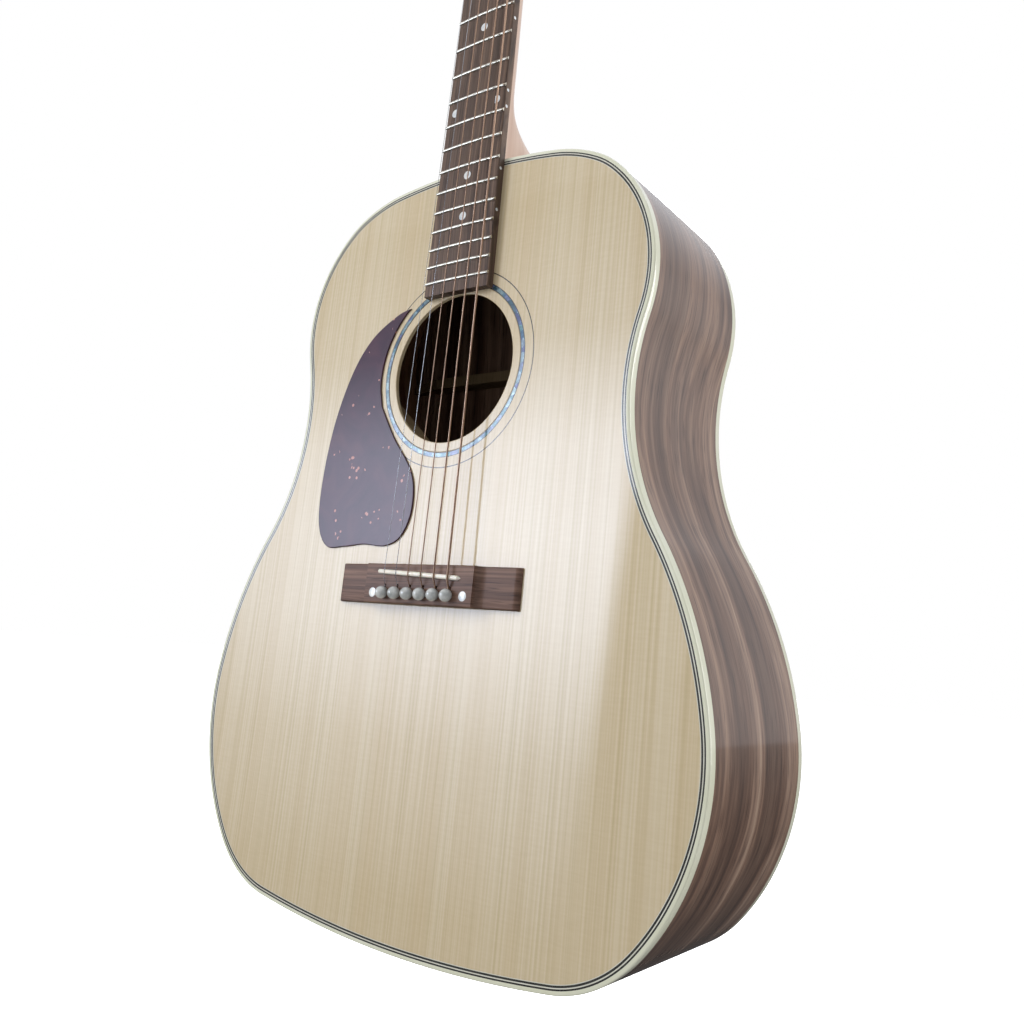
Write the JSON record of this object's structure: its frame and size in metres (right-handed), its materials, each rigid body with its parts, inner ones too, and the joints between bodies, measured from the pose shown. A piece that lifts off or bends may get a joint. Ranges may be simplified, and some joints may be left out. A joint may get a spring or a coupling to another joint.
{
  "type": "left-handed flat-top acoustic guitar",
  "caption": "Left-handed steel-string dreadnought guitar with a spruce top, walnut back and sides, a dovetailed neck, a pinned bridge and geared tuners.",
  "frame": {"origin": "the middle of the strap pin's head, on the centre line at the tail of the body", "axes": "+X to the bass side, +Y from the front to the back, +Z along the neck to the headstock"},
  "size_m": [0.402, 0.1398, 1.0313],
  "materials": {
    "top_spruce": "gloss lacquered spruce with fine straight grain",
    "brace_spruce": "bare spruce",
    "walnut": "gloss lacquered walnut with dark streaks",
    "mahogany": "bare mahogany",
    "maple": "bare maple",
    "neck_maple": "satin lacquered pale wood",
    "rosewood": "oiled dark brown wood with open grain",
    "ivory_plastic": "polished cream plastic",
    "purfling": "dark and pale lines under lacquer",
    "shell": "abalone shell under lacquer",
    "tortoise_plastic": "polished tortoiseshell-pattern sheet",
    "bone": "polished bone",
    "pearl": "mother-of-pearl",
    "pin_plastic": "grey pearl plastic",
    "black_plastic": "polished black plastic",
    "fret_metal": "polished nickel silver",
    "rod_steel": "plain steel",
    "brass_fitting": "turned brass",
    "bronze_wire": "bronze winding",
    "plain_steel": "bright steel wire",
    "chrome_metal": "nickel-plated die casting"
  },
  "bodies": {
    "guitar": {"soundboard": "top_spruce", "back_plate": "walnut", "side_bass": "walnut", "side_treble": "walnut", "neck_block": "mahogany", "tail_block": "mahogany", "front_linings": "mahogany", "back_linings": "mahogany", "x_brace_bass": "brace_spruce", "x_brace_treble": "brace_spruce", "upper_brace": "brace_spruce", "tone_bars": "brace_spruce", "finger_braces": "brace_spruce", "soundhole_braces": "brace_spruce", "bridge_plate": "maple", "back_braces": "brace_spruce", "back_strip": "brace_spruce", "side_strips": "mahogany", "front_binding": "ivory_plastic", "front_purfling": "purfling", "back_binding": "ivory_plastic", "tail_wedge": "rosewood", "rosette": "shell", "pickguard": "tortoise_plastic", "bridge": "rosewood", "saddle": "bone", "bridge_dots": "pearl", "bridge_pins": "pin_plastic", "end_pin": "ivory_plastic", "neck": "neck_maple", "fretboard": "rosewood", "frets": "fret_metal", "fret_dots": "pearl", "side_dots": "pearl", "nut": "bone", "heel_cap": "ivory_plastic", "headstock_face": "rosewood", "truss_rod": "rod_steel", "truss_rod_cover": "black_plastic", "cover_screws": "chrome_metal", "wound_strings": "bronze_wire", "plain_strings": "plain_steel", "string_balls": "brass_fitting", "tuner_housings": "chrome_metal", "tuner_bushings": "chrome_metal", "tuner_screws": "chrome_metal"},
    "truss_rod_nut": {"truss_rod_nut": "brass_fitting"},
    "tuner_key_1": {"tuner_key_1": "chrome_metal"},
    "string_post_1": {"string_post_1": "chrome_metal"},
    "tuner_key_2": {"tuner_key_2": "chrome_metal"},
    "string_post_2": {"string_post_2": "chrome_metal"},
    "tuner_key_3": {"tuner_key_3": "chrome_metal"},
    "string_post_3": {"string_post_3": "chrome_metal"},
    "tuner_key_4": {"tuner_key_4": "chrome_metal"},
    "string_post_4": {"string_post_4": "chrome_metal"},
    "tuner_key_5": {"tuner_key_5": "chrome_metal"},
    "string_post_5": {"string_post_5": "chrome_metal"},
    "tuner_key_6": {"tuner_key_6": "chrome_metal"},
    "string_post_6": {"string_post_6": "chrome_metal"}
  },
  "joints": [
    {"name": "truss_rod_turn", "type": "hinge", "parent": "guitar", "child": "truss_rod_nut", "pos_m": [0, -0.055, 0.869], "axis": [0, 0, 1], "range_deg": [-180, 180]},
    {"name": "key_1_turn", "type": "hinge", "parent": "guitar", "child": "tuner_key_1", "pos_m": [-0.02676, -0.03425, 0.89994], "axis": [-1, 0, 0], "continuous": true},
    {"name": "post_1_turn", "type": "hinge", "parent": "guitar", "child": "string_post_1", "pos_m": [-0.02676, -0.05329, 0.89593], "axis": [0, -0.9703, 0.2419], "continuous": true},
    {"name": "key_2_turn", "type": "hinge", "parent": "guitar", "child": "tuner_key_2", "pos_m": [-0.02837, -0.02313, 0.94458], "axis": [-1, 0, 0], "continuous": true},
    {"name": "post_2_turn", "type": "hinge", "parent": "guitar", "child": "string_post_2", "pos_m": [-0.02837, -0.04216, 0.94056], "axis": [0, -0.9703, 0.2419], "continuous": true},
    {"name": "key_3_turn", "type": "hinge", "parent": "guitar", "child": "tuner_key_3", "pos_m": [-0.02998, -0.012, 0.98921], "axis": [-1, 0, 0], "continuous": true},
    {"name": "post_3_turn", "type": "hinge", "parent": "guitar", "child": "string_post_3", "pos_m": [-0.02998, -0.03103, 0.9852], "axis": [0, -0.9703, 0.2419], "continuous": true},
    {"name": "key_4_turn", "type": "hinge", "parent": "guitar", "child": "tuner_key_4", "pos_m": [0.02998, -0.012, 0.98921], "axis": [1, 0, 0], "continuous": true},
    {"name": "post_4_turn", "type": "hinge", "parent": "guitar", "child": "string_post_4", "pos_m": [0.02998, -0.03103, 0.9852], "axis": [0, -0.9703, 0.2419], "continuous": true},
    {"name": "key_5_turn", "type": "hinge", "parent": "guitar", "child": "tuner_key_5", "pos_m": [0.02837, -0.02313, 0.94458], "axis": [1, 0, 0], "continuous": true},
    {"name": "post_5_turn", "type": "hinge", "parent": "guitar", "child": "string_post_5", "pos_m": [0.02837, -0.04216, 0.94056], "axis": [0, -0.9703, 0.2419], "continuous": true},
    {"name": "key_6_turn", "type": "hinge", "parent": "guitar", "child": "tuner_key_6", "pos_m": [0.02676, -0.03425, 0.89994], "axis": [1, 0, 0], "continuous": true},
    {"name": "post_6_turn", "type": "hinge", "parent": "guitar", "child": "string_post_6", "pos_m": [0.02676, -0.05329, 0.89593], "axis": [0, -0.9703, 0.2419], "continuous": true}
  ],
  "couplings": [
    {"joint": "post_1_turn", "follows": "key_1_turn", "ratio": -0.071429},
    {"joint": "post_2_turn", "follows": "key_2_turn", "ratio": -0.071429},
    {"joint": "post_3_turn", "follows": "key_3_turn", "ratio": -0.071429},
    {"joint": "post_4_turn", "follows": "key_4_turn", "ratio": 0.071429},
    {"joint": "post_5_turn", "follows": "key_5_turn", "ratio": 0.071429},
    {"joint": "post_6_turn", "follows": "key_6_turn", "ratio": 0.071429}
  ]
}
